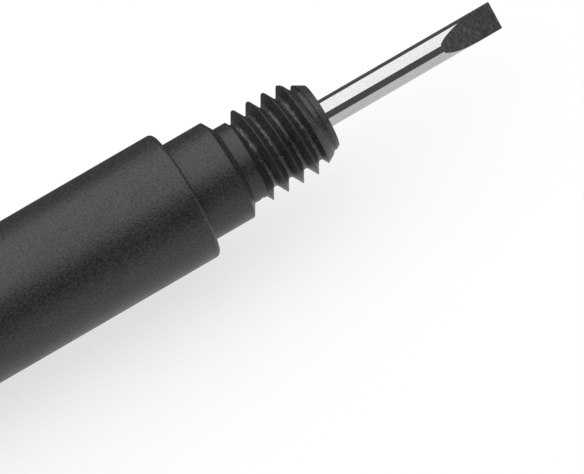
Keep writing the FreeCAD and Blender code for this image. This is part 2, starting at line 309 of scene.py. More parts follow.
def cut(piece: Piece, tool: Piece, how: Cut = Cut.AWAY) -> None:
    """Cuts a piece with a tool, which is used up.

    Args:
        piece: the piece.
        tool: the solid that cuts it.
        how: whether the tool's space is taken away or kept.
    """
    modifier = piece.modifiers.new("cut", "BOOLEAN")
    modifier.operation = how.value
    modifier.solver = "EXACT"
    modifier.object = tool
    finish_modifier(piece, modifier)
    bpy.data.meshes.remove(tool.data)
    with editing(piece):
        bpy.ops.mesh.remove_doubles(threshold=MERGE)


def break_edges(piece: Piece, width: float, sharper: float) -> None:
    """Breaks a piece's sharp edges, as deburring does.

    Args:
        piece: the piece.
        width: width of the broken edge.
        sharper: only edges that turn more than this, in degrees, are broken.
    """
    modifier = piece.modifiers.new("deburr", "BEVEL")
    modifier.width = width
    modifier.segments = 2
    modifier.limit_method = "ANGLE"
    modifier.angle_limit = math.radians(sharper)
    finish_modifier(piece, modifier)


@dataclass(frozen=True)
class Thread:
    """A right-hand 60 degree screw thread, cut as one groove with a round root.

    Attributes:
        start: station where the groove begins, on the tool's +Y side.
        end: station that the groove has passed when it stops.
        radius: the crests' radius.
        pitch: advance in one turn.
        crest: width of the crests.
        root: radius of the round root.
        lead_in: turns before the start in which the groove comes down to its depth.
        lead_rise: how far out of its depth the groove is when it begins.
    """

    start: float
    end: float
    radius: float
    pitch: float
    crest: float
    root: float
    lead_in: float = 1 / 6
    lead_rise: float = 0.7

    def section(self) -> Outline:
        """Draws the groove's section, a V with a round root, open a little above the crests.

        Returns:
            Its points, station and radius.
        """
        above = self.crest / 2
        half = (self.pitch - self.crest) / 2
        top = half + above * math.tan(FLANK)
        middle = self.radius - half / math.tan(FLANK) + self.root / math.sin(FLANK)
        widest = QUARTER_TURN - FLANK
        points = [(-top, self.radius + above)]
        for step in range(2 * ARC_STEPS + 1):
            angle = widest * (step / ARC_STEPS - 1)
            points.append((self.root * math.sin(angle), middle - self.root * math.cos(angle)))
        points.append((top, self.radius + above))
        return points

    def groove(self) -> Piece:
        """Winds the section into the solid that cuts the thread, shallower where it starts.

        Returns:
            The solid.
        """
        section = self.section()
        tool = wire("thread_tool", section, closed=True)
        count = len(tool.data.vertices)
        turns = math.ceil((self.end - self.start) / self.pitch + self.lead_in)
        screw = tool.modifiers.new("wind", "SCREW")
        screw.axis = "X"
        screw.angle = FULL_TURN
        screw.steps = STEPS
        screw.render_steps = STEPS
        screw.iterations = turns
        screw.screw_offset = self.pitch
        finish_modifier(tool, screw)
        for vertex in tool.data.vertices:
            early = 1 - vertex.index // count / (STEPS * self.lead_in)
            if early > 0:
                distance = math.hypot(vertex.co.y, vertex.co.z)
                vertex.co.yz = vertex.co.yz * (1 + early * self.lead_rise / distance)
        with editing(tool):
            bpy.ops.mesh.select_all(action="DESELECT")
            bpy.ops.mesh.select_non_manifold()
            bpy.ops.mesh.fill_holes(sides=0)
            bpy.ops.mesh.select_all(action="SELECT")
            bpy.ops.mesh.normals_make_consistent(inside=False)
        before = self.start - self.lead_in * self.pitch
        put(tool, (before, 0, 0), (-QUARTER_TURN - self.lead_in * FULL_TURN, 0, 0))
        return tool


# ---- finishes: node graphs ---------------------------------------------------------------
class Graph:
    """A node tree with short ways to add nodes and join them."""

    def __init__(self, tree: bpy.types.NodeTree) -> None:
        """Takes over a tree and empties it."""
        self.tree = tree
        tree.nodes.clear()

    def node(self, kind: str, settings: dict | None = None, **feeds: Feed) -> bpy.types.Node:
        """Adds a node.

        Args:
            kind: the node's type, without "ShaderNode".
            settings: its properties.
            feeds: a value or another node's socket for each input, by name with _ for a space.

        Returns:
            The node.
        """
        node = self.tree.nodes.new("ShaderNode" + kind)
        for name, value in (settings or {}).items():
            setattr(node, name, value)
        for name, value in feeds.items():
            self.feed(node.inputs[name.replace("_", " ")], value)
        return node

    def feed(self, socket: Socket, value: Feed) -> None:
        """Joins a socket to another, or gives it a constant.

        Args:
            socket: the input.
            value: another node's socket, or the constant.
        """
        if isinstance(value, Socket):
            self.tree.links.new(value, socket)
        else:
            socket.default_value = value

    def maths(self, operation: str, *values: Feed) -> Socket:
        """Adds a sum on numbers.

        Args:
            operation: the sum, as its node names it.
            values: the numbers, each a constant or a socket.

        Returns:
            Its result.
        """
        node = self.node("Math", {"operation": operation})
        for socket, value in zip(node.inputs, values):
            self.feed(socket, value)
        return node.outputs[0]

    def ramp(self, value: Feed, low: Feed, high: Feed, to_low: float = 0, to_high: float = 1) -> Socket:
        """Maps a value smoothly from one range to another.

        Args:
            value: the value's socket.
            low: where the first range begins.
            high: where it ends.
            to_low: what its beginning becomes.
            to_high: what its end becomes.

        Returns:
            The mapped value.
        """
        node = self.node("MapRange", {"interpolation_type": "SMOOTHSTEP"}, Value=value)
        self.feed(node.inputs["From Min"], low)
        self.feed(node.inputs["From Max"], high)
        node.inputs["To Min"].default_value = to_low
        node.inputs["To Max"].default_value = to_high
        return node.outputs["Result"]

    def mix(self, factor: Feed, first: Feed, second: Feed, kind: str = "RGBA") -> Socket:
        """Mixes two colours, or two numbers where kind is FLOAT.

        Args:
            factor: the second one's share.
            first: the first one.
            second: the second one.
            kind: what is mixed.

        Returns:
            The mixture.
        """
        node = self.node("Mix", {"data_type": kind})
        ports = {"RGBA": (6, 7, 2), "FLOAT": (2, 3, 0)}[kind]
        self.feed(node.inputs[0], factor)
        self.feed(node.inputs[ports[0]], first)
        self.feed(node.inputs[ports[1]], second)
        return node.outputs[ports[2]]

    def noise(self, vector: Feed, size: Feed, detail: float = 2.0) -> Socket:
        """Adds noise whose grains are about that size, and returns its value."""
        scale = self.maths("DIVIDE", 1.0, size)
        return self.node("TexNoise", Vector=vector, Scale=scale, Detail=detail).outputs["Fac"]

    def effect(self, effect: "Effect", **feeds: Feed) -> bpy.types.Node:
        """Places a shared effect.

        Args:
            effect: the effect.
            feeds: a value or another node's socket for each input, by name with _ for a space.

        Returns:
            The node.
        """
        node = self.tree.nodes.new("ShaderNodeGroup")
        node.node_tree = effect.group()
        for name, value in feeds.items():
            self.feed(node.inputs[name.replace("_", " ")], value)
        return node


class Effect(Enum):
    """Effects that several finishes share, each with its sockets.

    The value is the group's name, its number inputs and its outputs. Every effect also
    takes a Place, the point in millimetres about the axis.
    """

    AXIS = ("about_the_axis", (), ("Station", "Radius", "Angle"))
    GRAIN = ("fine_grain", ("Size",), ("Height", "Tone"))
    MARKS = ("turning_marks", ("Station", "Radius", "Pitch"), ("Height",))
    HANDLING = ("handling", ("Size",), ("Smudge", "Scratch"))
    ZONE = (
        "zone", ("Station", "Radius", "From", "To", "Inner", "Outer", "Edge", "Patch Size", "Cover"),
        ("Mask",),
    )

    def group(self) -> bpy.types.NodeTree:
        """Finds the effect's node group, which is made when it is first placed.

        Returns:
            The group.
        """
        name, numbers, results = self.value
        found = bpy.data.node_groups.get(name)
        if found:
            return found
        tree = bpy.data.node_groups.new(name, "ShaderNodeTree")
        tree.interface.new_socket("Place", in_out="INPUT", socket_type="NodeSocketVector")
        for number in numbers:
            tree.interface.new_socket(number, in_out="INPUT", socket_type="NodeSocketFloat")
        for result in results:
            tree.interface.new_socket(result, in_out="OUTPUT", socket_type="NodeSocketFloat")
        graph = Graph(tree)
        given = tree.nodes.new("NodeGroupInput").outputs
        made = EFFECT_MAKERS[self](graph, given)
        gives = tree.nodes.new("NodeGroupOutput")
        for result, socket in zip(results, made):
            tree.links.new(socket, gives.inputs[result])
        return tree


def make_axis(graph: Graph, given: Given) -> tuple[Socket, ...]:
    """Station, distance from the axis, and angle round it in turns.

    Args:
        graph: the effect's tree.
        given: its inputs, by name.

    Returns:
        A socket for each of its outputs.
    """
    parts = graph.node("SeparateXYZ", Vector=given["Place"]).outputs
    square = graph.maths("MULTIPLY", parts["Y"], parts["Y"])
    radius = graph.maths("SQRT", graph.maths("MULTIPLY_ADD", parts["Z"], parts["Z"], square))
    angle = graph.maths("DIVIDE", graph.maths("ARCTAN2", parts["Y"], parts["Z"]), FULL_TURN)
    return parts["X"], radius, angle


def make_grain(graph: Graph, given: Given) -> tuple[Socket, ...]:
    """The fine bead-blasted grain under an anodised coat, as height and as tone.

    Args:
        graph: the effect's tree.
        given: its inputs, by name.

    Returns:
        A socket for each of its outputs.
    """
    fine = graph.noise(given["Place"], given["Size"], detail=3.0)
    coarse = graph.noise(given["Place"], graph.maths("MULTIPLY", given["Size"], 4.0), detail=1.0)
    height = graph.maths("MULTIPLY_ADD", coarse, 0.35, fine)
    return height, graph.ramp(fine, low=0.32, high=0.68)


def make_marks(graph: Graph, given: Given) -> tuple[Socket, ...]:
    """Rings left by the tool on a turned face: noise that changes only along the outline.

    Args:
        graph: the effect's tree.
        given: its inputs, by name.

    Returns:
        A socket for each of its outputs.
    """
    along = graph.maths("ADD", given["Station"], given["Radius"])
    wander = graph.noise(given["Place"], 1.5, detail=0.0)
    wavy = graph.maths("MULTIPLY_ADD", wander, MARK_WANDER, along)
    turns = graph.maths("DIVIDE", wavy, given["Pitch"])
    rings = graph.node("TexNoise", {"noise_dimensions": "1D"}, W=turns, Scale=1.0, Detail=2.0)
    return (rings.outputs["Fac"],)


def make_handling(graph: Graph, given: Given) -> tuple[Socket, ...]:
    """Smudges from fingers, and sparse fine scratches that run in no one direction.

    Args:
        graph: the effect's tree.
        given: its inputs, by name.

    Returns:
        A socket for each of its outputs.
    """
    smudge = graph.ramp(graph.noise(given["Place"], given["Size"], detail=3.0), low=0.35, high=0.65)
    bent = graph.node("VectorMath", {"operation": "MULTIPLY_ADD"})
    graph.feed(bent.inputs[0], given["Place"])
    bent.inputs[1].default_value = (0.35, 3.1, 2.3)
    graph.feed(bent.inputs[2], graph.noise(given["Place"], 3.0, detail=1.0))
    level = graph.maths("SUBTRACT", graph.noise(bent.outputs[0], 1.4, detail=0.0), 0.5)
    lines = graph.maths("ABSOLUTE", level)
    scratch = graph.ramp(lines, low=0.0, high=0.004, to_low=1.0, to_high=0.0)
    sparse = graph.ramp(graph.noise(given["Place"], 0.9, detail=1.0), low=0.55, high=0.66)
    return smudge, graph.maths("MULTIPLY", scratch, sparse)


def make_zone(graph: Graph, given: Given) -> tuple[Socket, ...]:
    """One where a point lies between two stations and two radii, in patches if asked.

    Args:
        graph: the effect's tree.
        given: its inputs, by name.

    Returns:
        A socket for each of its outputs.
    """
    inside = []
    for value, low, high in (("Station", "From", "To"), ("Radius", "Inner", "Outer")):
        over = graph.maths("SUBTRACT", given[value], given[low])
        under = graph.maths("SUBTRACT", given[high], given[value])
        inside.append(graph.maths("MINIMUM", over, under))
    depth = graph.maths("DIVIDE", graph.maths("MINIMUM", *inside), given["Edge"])
    mask = graph.ramp(depth, low=-0.5, high=0.5)
    patches = graph.noise(given["Place"], given["Patch Size"], detail=3.0)
    threshold = graph.maths("SUBTRACT", 0.78, graph.maths("MULTIPLY", given["Cover"], 0.62))
    worn = graph.ramp(graph.maths("SUBTRACT", patches, threshold), low=-0.05, high=0.05)
    return (graph.maths("MULTIPLY", mask, worn),)


EFFECT_MAKERS: dict[Effect, Callable] = {
    Effect.AXIS: make_axis,
    Effect.GRAIN: make_grain,
    Effect.MARKS: make_marks,
    Effect.HANDLING: make_handling,
    Effect.ZONE: make_zone,
}


def grey(level: float) -> Colour:
    """A neutral colour of that level."""
    return (level, level, level, 1.0)


@dataclass(frozen=True)
class Zone:
    """A part of a surface with a look of its own, told by its place about the axis.

    Attributes:
        colour: its colour.
        roughness: its roughness.
        metallic: one where bare metal shows.
        stations: the stations that it lies between.
        radii: the radii that it lies between.
        edge: width of its soft edge, in millimetres.
        patch: size of its patches, in millimetres.
        cover: share of the zone that its patches take, from 0 to 1.
        grain_size: size of its grain, in millimetres.
        grain_height: height of its grain, in millimetres.
        painted_glint: how much lighter the tops of its grain are painted, as glints that stand in for
            light.
        grain_run: how much longer its grain is across the axis than along it.
    """

    colour: Colour
    roughness: float
    metallic: float = 0.0
    stations: tuple[float, float] = (-100.0, 100.0)
    radii: tuple[float, float] = (-1.0, 100.0)
    edge: float = 0.02
    patch: float = 0.2
    cover: float = 1.0
    grain_size: float = 0.08
    grain_height: float = 0.0
    # painted glints: the tops of the grain are painted lighter, as if they caught the light
    painted_glint: float = 0.0
    grain_run: float = 1.0

    def lit(self) -> Colour:
        """Works out the colour of the tops of its grain, lighter by a painted glint.

        Returns:
            The colour, lighter by the painted glint.
        """
        gain = 1 + 4 * self.painted_glint
        lift = 0.1 * self.painted_glint
        return tuple(min(1.0, level * gain + lift) for level in self.colour[:3]) + (1.0,)


@dataclass(frozen=True)
class Finish:
    """A surface's finish, in millimetres and from 0 to 1.

    Attributes:
        name: the material's name.
        colour: the colour of most of the surface.
        shade: the colour that it is mottled with.
        roughness: its mean roughness.
        metallic: one for bare metal.
        mottling: how strongly the grain is mottled with the shade.
        smudging: how much handling changes the roughness.
        smudge_size: size of the smudges.
        scratching: how strongly fine scratches show.
        grain_size: size of the grain.
        grain_height: height of the grain.
        mark_pitch: pitch of the turning marks.
        mark_height: height of the turning marks.
        zones: parts of the surface that look different, each over the ones before.
    """

    name: str
    colour: Colour
    shade: Colour
    roughness: float
    metallic: float = 0.0
    mottling: float = 0.5
    smudging: float = 0.06
    smudge_size: float = 2.5
    scratching: float = 0.3
    grain_size: float = 0.08
    grain_height: float = 0.001
    mark_pitch: float = 0.05
    mark_height: float = 0.0003
    zones: tuple[Zone, ...] = ()

    def material(self) -> bpy.types.Material:
        """Finds the finish's material, which is made when it is first asked for.

        Returns:
            The material.
        """
        found = bpy.data.materials.get(self.name)
        if found:
            return found
        material = bpy.data.materials.new(self.name)
        material.use_nodes = True
        material.diffuse_color = self.colour
        graph = Graph(material.node_tree)
        coordinates = graph.node("TexCoord").outputs["Object"]
        mapping = graph.node("Mapping", Vector=coordinates)
        mapping.inputs["Location"].default_value = -FACE / MM
        mapping.inputs["Scale"].default_value = (1 / MM,) * 3
        place = mapping.outputs["Vector"]
        axis = graph.effect(Effect.AXIS, Place=place).outputs
        where = {"Place": place, "Station": axis["Station"], "Radius": axis["Radius"]}
        grain = graph.effect(Effect.GRAIN, Place=place, Size=self.grain_size).outputs
        marks = graph.effect(Effect.MARKS, **where, Pitch=self.mark_pitch).outputs
        handling = graph.effect(Effect.HANDLING, Place=place, Size=self.smudge_size).outputs
        mottled = graph.maths("MULTIPLY", grain["Tone"], self.mottling)
        colour = graph.mix(mottled, self.colour, self.shade)
        smudge = graph.maths("SUBTRACT", handling["Smudge"], 0.5)
        roughness = graph.maths("MULTIPLY_ADD", smudge, self.smudging, self.roughness)
        height = graph.maths("MULTIPLY", grain["Height"], self.grain_height)
        height = graph.maths("MULTIPLY_ADD", marks["Height"], self.mark_height, height)
        height = graph.maths("MULTIPLY_ADD", handling["Scratch"], -self.scratching * MM, height)
        metallic = self.metallic
        for zone in self.zones:
            mask = graph.effect(
                Effect.ZONE, **where, From=zone.stations[0], To=zone.stations[1], Inner=zone.radii[0],
                Outer=zone.radii[1], Edge=zone.edge, Patch_Size=zone.patch, Cover=zone.cover,
            ).outputs["Mask"]
            drawn = graph.node("Mapping", Vector=place)
            drawn.inputs["Scale"].default_value = (1, 1 / zone.grain_run, 1 / zone.grain_run)
            grit = graph.effect(Effect.GRAIN, Place=drawn.outputs["Vector"], Size=zone.grain_size).outputs
            # painted glints: the lightest tops of the zone's grain take the lighter glint colour
            glint_speck = graph.maths("POWER", grit["Tone"], 3.0)
            look = graph.mix(glint_speck, zone.colour, zone.lit())
            colour = graph.mix(mask, colour, look)
            roughness = graph.mix(mask, roughness, zone.roughness, "FLOAT")
            metallic = graph.mix(mask, metallic, zone.metallic, "FLOAT")
            rise = graph.maths("MULTIPLY", grit["Height"], zone.grain_height)
            height = graph.maths("ADD", height, graph.maths("MULTIPLY", mask, rise))
        bump = graph.node("Bump", Height=height, Strength=1.0, Distance=MM)
        shader = graph.node("BsdfPrincipled", Base_Color=colour, Roughness=roughness, Metallic=metallic)
        graph.feed(shader.inputs["Normal"], bump.outputs["Normal"])
        output = graph.node("OutputMaterial")
        graph.feed(output.inputs["Surface"], shader.outputs["BSDF"])
        return material


# The stations and radii below come from the frame, like the pieces that wear the finishes.
BARREL = Span.of("barrel")
NOSE = Span.of("nose")
BLADE = Span.of("blade")
COLLAR = Span.of("anti_roll_collar")
RING = Span.of("size_ring")
PLUG = Span.of("tail_plug")
SHELL = Span.of("head_shell")
CAP = Span.of("head_cap")
SEAL = Span.of("tail_o_ring")

THREAD_START = 2.84               # the nose's thread runs from here to its front
THREAD_R = 1.98
GRIP_REAR = -26.0
GRIP_FRONT = -12.0
GRIP_GROOVE = 0.50
GRIP_DEPTH = 0.15
FLAT_START = 11.70                # the blade's flats
FLAT_LEAD = 0.10                  # how far before them the rod's last ring lies
ALL_OUT = 9.0                     # further out than any piece

WORN_BLACK = (0.10, 0.10, 0.102, 1.0)
WORN_RED = (0.60, 0.16, 0.15, 1.0)
BARE_STEEL = (0.56, 0.57, 0.58, 1.0)

BLACK_BARREL_FINISH = Finish(
    name="black_anodised_barrel", colour=grey(0.003), shade=grey(0.028), roughness=0.40, mottling=1.0,
    grain_size=0.09, grain_height=0.017, mark_height=0.0002, scratching=0.1,
    zones=(
        Zone(WORN_BLACK, 0.38, 0.6, (GRIP_REAR, GRIP_FRONT), (BARREL.radius - 0.012, ALL_OUT), edge=0.01,
             patch=0.4, cover=0.5),
        Zone(WORN_BLACK, 0.38, 0.8, (BARREL.rear - 1, BARREL.rear + 0.06), (2.72, ALL_OUT), edge=0.03,
             patch=0.3, cover=0.35),
    ),
)
BLACK_NOSE_FINISH = replace(
    BLACK_BARREL_FINISH, name="black_anodised_nose",
    zones=(
        # the thread, a little lighter, with painted glints on the tops of its grain
        Zone(grey(0.010), 0.38, stations=(THREAD_START - 0.1, ALL_OUT), edge=0.1, grain_size=0.06,
             grain_height=0.0040, painted_glint=0.3),
        # the thread's roots, in patches: painted glints, strongly lighter tops of the grain
        Zone(grey(0.008), 0.36, stations=(THREAD_START, 5.4), radii=(1.3, 1.60), edge=0.05, patch=0.3,
             cover=0.42, grain_size=0.035, grain_height=0.004, painted_glint=1.4),
        # the thread's crests, lighter in patches: painted highlight along the crests
        Zone(grey(0.03), 0.34, stations=(THREAD_START, ALL_OUT), radii=(THREAD_R - 0.03, ALL_OUT),
             edge=0.02, patch=0.3, cover=0.8),
    ),
)
BLACK_PARTS_FINISH = replace(
    BLACK_BARREL_FINISH, name="black_anodised_parts", grain_height=0.015, mark_height=0.0004,
    scratching=0.3,
    zones=(
        Zone(WORN_BLACK, 0.36, 0.8, (COLLAR.rear, COLLAR.front), (4.47, ALL_OUT), edge=0.03, patch=0.5,
             cover=0.4),
        Zone(WORN_BLACK, 0.36, 0.8, (SHELL.rear + 0.04, SHELL.rear + 0.20), (3.8, 3.98), edge=0.04,
             patch=0.5, cover=0.5),
    ),
)
BLADE_FINISH = Finish(
    name="polished_blade_steel", colour=grey(0.50), shade=grey(0.41), roughness=0.06,
    metallic=1.0, mottling=0.8, smudging=0.02, smudge_size=0.8, scratching=0.05, grain_size=0.07,
    grain_height=0.00003, mark_height=0.0,
    zones=(
        # the ground flats: darker, rougher and metallic, with grind lines across the axis whose tops carry
        # painted glints
        Zone(grey(0.20), 0.30, 1.0, (FLAT_START - FLAT_LEAD, 20), (-1, BLADE.radius - 0.004), edge=0.004,
             grain_size=0.04, grain_height=0.0010, painted_glint=0.22, grain_run=5),
    ),
)
PLAIN_STEEL_FINISH = Finish(
    name="plain_turned_steel", colour=BARE_STEEL, shade=grey(0.46), roughness=0.26, metallic=1.0,
    grain_height=0.0002, mark_height=0.0006,
)
BEARING_STEEL_FINISH = Finish(
    name="bearing_steel", colour=(0.62, 0.62, 0.64, 1.0), shade=grey(0.55), roughness=0.14,
    metallic=1.0, grain_height=0.0001, mark_pitch=0.03, mark_height=0.0002, scratching=0.1,
)
CAGE_BRASS_FINISH = Finish(
    name="cage_brass", colour=(0.72, 0.50, 0.20, 1.0), shade=(0.55, 0.36, 0.13, 1.0), roughness=0.28,
    metallic=1.0, grain_height=0.0003, mark_height=0.0004,
)
RED_RING_FINISH = Finish(
    name="red_anodised_ring", colour=(0.42, 0.012, 0.016, 1.0), shade=(0.30, 0.008, 0.012, 1.0),
    roughness=0.33, metallic=0.85, mottling=0.6, grain_size=0.07, grain_height=0.0009,
    mark_height=0.0005, scratching=0.2,
    zones=(
        Zone(WORN_RED, 0.32, 1.0, (RING.front - 0.08, RING.front + 1), (RING.radius - 0.08, ALL_OUT),
             edge=0.03, patch=0.4, cover=0.4),
        Zone(WORN_RED, 0.32, 1.0, (CAP.rear - 1, CAP.rear + 0.03), (3.05, ALL_OUT), edge=0.04,
             patch=0.4, cover=0.45),
    ),
)
RUBBER_FINISH = Finish(
    name="black_rubber", colour=grey(0.018), shade=grey(0.03), roughness=0.62, grain_size=0.05,
    grain_height=0.0010, mark_height=0.0, scratching=0.0,
)
ACETAL_FINISH = Finish(
    name="white_acetal", colour=(0.78, 0.77, 0.73, 1.0), shade=(0.70, 0.69, 0.65, 1.0), roughness=0.42,
    grain_size=0.10, grain_height=0.0008, mark_height=0.0006,
)


def drop_folds(piece: Piece) -> None:
    """Takes out the points at which two neighbouring faces fold flat onto each other.

    Args:
        piece: the piece, whose surface stays as it is everywhere else.
    """
    mesh = piece.data
    for _ in range(FOLD_ROUNDS):
        mesh.calc_loop_triangles()
        corners = Counter(tuple(sorted(triangle.vertices)) for triangle in mesh.loop_triangles)
        ends = Counter(index for edge in mesh.edges for index in edge.vertices)
        folded = {index for corner, times in corners.items() if times > 1 for index in corner}
        folded = {index for index in folded if ends[index] == 2}
        if not folded:
            return
        with editing(piece):
            bpy.ops.mesh.select_mode(type="VERT")
            bpy.ops.mesh.select_all(action="DESELECT")
        for index in folded:
            mesh.vertices[index].select = True
        with editing(piece, everything=False):
            bpy.ops.mesh.dissolve_verts()
        log.info("%s: %d folded points taken out", piece.name, len(folded))


def settle(
    piece: Piece, body: Body, node: str, finish: Finish, smooth: float = SMOOTH,
) -> None:
    """Puts a finished piece in its place, to stand for a node of the frame.

    Args:
        piece: the piece, in millimetres about the axis.
        body: the body that it moves with.
        node: the node that it stands for.
        finish: its finish.
        smooth: edges that turn more than this stay crisp.
    """
    drop_folds(piece)
    only(piece)
    bpy.ops.object.shade_smooth_by_angle(angle=smooth)
    weigh = piece.modifiers.new("weigh", "WEIGHTED_NORMAL")
    weigh.keep_sharp = True
    finish_modifier(piece, weigh)
    piece.scale = (MM, MM, MM)
    piece.location = FACE
    bpy.ops.object.transform_apply(location=True, rotation=True, scale=True)
    piece.data.materials.clear()
    piece.data.materials.append(finish.material())
    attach(piece, body.value)
    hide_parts(node)
    log.info("%s: %d faces, rides %s", piece.name, len(piece.data.polygons), body.value)


def coat(finish: Finish, *nodes: str) -> None:
    """Gives a finish to nodes of the frame that keep their own mesh.

    Args:
        finish: the finish.
        nodes: the nodes' names.
    """
    for name in nodes:
        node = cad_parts[name]
        if not node.material_slots:
            node.data.materials.append(finish.material())
        for material_slot in node.material_slots:
            material_slot.material = finish.material()
        log.info("%s: coated with %s", name, finish.name)


# ---- the handle --------------------------------------------------------------------------
@dataclass
class Handle:
    """The knurled barrel, the threaded nose pressed in it, and the collar pressed on it."""

    socket: float = 1.70          # bore for the nose's shank
    socket_end: float = -6.60
    face_back: float = 0.06       # how far the face lies behind station zero at the neck
    face_dome: float = 0.14       # how far the barrel's front face falls back to its rim
    edge_round: float = 0.22
    lap: float = 0.05             # width of the small step where the face meets the neck
    hole_flare: float = 0.12      # how much the screw's hole opens where it comes out
    hole_mouth: float = 0.08      # how deep that begins
    magazine: float = 1.70        # bore for the spare blades' holder
    magazine_front: float = -33.5
    plug_thread: float = 2.00
    plug_thread_front: float = -54.5
    plug_thread_rear: float = -59.0
    seal_seat: float = 2.10
    diamonds: int = 30            # knurl diamonds round the grip
    diamond_length: float = 1.0
    diamond_rows: int = 8         # mesh rows along one diamond, and round it
    knurl_land: float = 0.42      # half width of a knurl groove, in diamonds
    shank: float = 1.68
    pilot: float = 2.18
    pilot_end: float = 1.80
    relief: float = 1.70
    relief_start: float = 2.09
    relief_end: float = 2.68
    bore: float = BLADE.radius + 0.03
    rear_bore: float = 0.80
    bore_step: float = -4.10
    nose_end_radius: float = 1.39
    chamfer_start: float = 5.17
    screw_station: float = -2.60
    screw_hole: float = 0.81
    bore_mouth: float = 0.08
    shank_lead: float = 0.2
    hex_corner: float = 4.50      # the collar's corners, turned off to this radius
    hex_slant: float = 0.35
    thread: Thread = Thread(
        2.73, 6.60, THREAD_R, pitch=0.70, crest=0.02, root=0.13, lead_in=0.5, lead_rise=0.19,
    )
    die_mark: Thread = replace(thread, start=6.28, radius=1.88, lead_in=0.8, lead_rise=0.10)
    parts: dict[str, Piece] = field(default_factory=dict)

    def knurl_rows(self) -> Outline:
        """Draws the grip's outline between its end grooves.

        Returns:
            Its points, one for each step of the knurl.
        """
        front = GRIP_FRONT - GRIP_GROOVE
        count = round((front - GRIP_REAR - GRIP_GROOVE) / self.diamond_length * self.diamond_rows)
        stations = (front - row * self.diamond_length / self.diamond_rows for row in range(count + 1))
        return [(station, BARREL.radius) for station in stations]

    def barrel(self) -> Piece:
        """Turns the tubular barrel, with its bores, grip and screw hole.

        Returns:
            The barrel.
        """
        full = BARREL.radius
        low = full - GRIP_DEPTH
        cone = 1.0
        outline = [(self.socket_end - cone, 0)] + eased(
            (self.socket_end, self.socket), (-self.face_back - 2 * self.lap, self.socket),
            (-self.face_back - self.lap, self.socket + self.lap), (-self.face_back, self.pilot - self.lap),
            (-self.face_dome, full, self.edge_round), (GRIP_FRONT, full, FINE_EASE),
            (GRIP_FRONT, low, HAIR_EASE), (GRIP_FRONT - GRIP_GROOVE, low, HAIR_EASE),
        )
        outline += self.knurl_rows()
        outline += eased(
            (GRIP_REAR + GRIP_GROOVE, low, HAIR_EASE), (GRIP_REAR, low, HAIR_EASE),
            (GRIP_REAR, full, FINE_EASE), (BARREL.rear, full, EDGE_EASE),
            (BARREL.rear, self.seal_seat, SMALL_EASE), (self.plug_thread_rear, self.seal_seat),
            (self.plug_thread_rear, self.plug_thread), (self.plug_thread_front, self.plug_thread),
            (self.plug_thread_front, self.magazine), (self.magazine_front, self.magazine),
        )
        outline += [(self.magazine_front + cone, 0)]
        piece = turned("knurled_barrel", outline, steps=self.diamonds * self.diamond_rows)
        self.knurl(piece)
        cut(piece, self.hole())
        return piece

    def knurl(self, piece: Piece) -> None:
        """Sinks two crossing sets of V grooves into the grip, which leave its diamonds.

        Args:
            piece: the barrel, which has a vertex at every step of the knurl.
        """
        front = GRIP_FRONT - GRIP_GROOVE + MERGE
        rear = GRIP_REAR + GRIP_GROOVE - MERGE
        for vertex in piece.data.vertices:
            station, y, z = vertex.co
            radius = math.hypot(y, z)
            if not rear < station < front or radius < BARREL.radius - MERGE:
                continue
            around = math.atan2(y, z) / FULL_TURN * self.diamonds
            along = (front - station) / self.diamond_length
            depth = 0.0
            for place in (around + along, around - along):
                off_groove = abs(place - round(place))
                depth = max(depth, GRIP_DEPTH * (1 - off_groove / self.knurl_land))
            vertex.co.yz *= (radius - depth) / radius

    def hole(self) -> Piece:
        """Makes the tool that drills the grub screw's hole, flared where it comes out.

        Returns:
            The tool, which reaches from the axis to beyond the barrel.
        """
        reach = BARREL.radius + 1
        mouth = BARREL.radius - self.hole_mouth
        wide = self.screw_hole + self.hole_flare
        tool = turned("drill", [
            (0, 0), (0, self.screw_hole), (mouth, self.screw_hole), (mouth + self.hole_flare, wide),
            (reach, wide), (reach, 0),
        ], steps=STEPS // 2)
        put(tool, (self.screw_station, 0, 0), (0, 0, QUARTER_TURN))
        return tool

    def nose(self) -> Piece:
        """Turns the nosepiece: shank, pilot neck, relief, thread, long chamfer and bore.

        Returns:
            The nosepiece.
        """
        piece = turned("threaded_nose", eased(
            (NOSE.rear, self.rear_bore), (self.bore_step, self.rear_bore), (self.bore_step, self.bore),
            (NOSE.front - self.bore_mouth, self.bore), (NOSE.front, self.bore + self.bore_mouth),
            (NOSE.front, self.nose_end_radius, HAIR_EASE), (self.chamfer_start, THREAD_R, SMALL_EASE),
            (THREAD_START, THREAD_R), (self.relief_end, self.relief),
            (self.relief_start, self.relief, HAIR_EASE), (self.pilot_end, self.pilot, SMALL_EASE),
            (-self.face_back, self.pilot), (-self.face_back, self.shank),
            (NOSE.rear + self.shank_lead, self.shank), (NOSE.rear, self.shank - self.shank_lead),
        ))
        cut(piece, self.thread.groove())
        cut(piece, self.die_mark.groove())
        cut(piece, self.hole())
        return piece

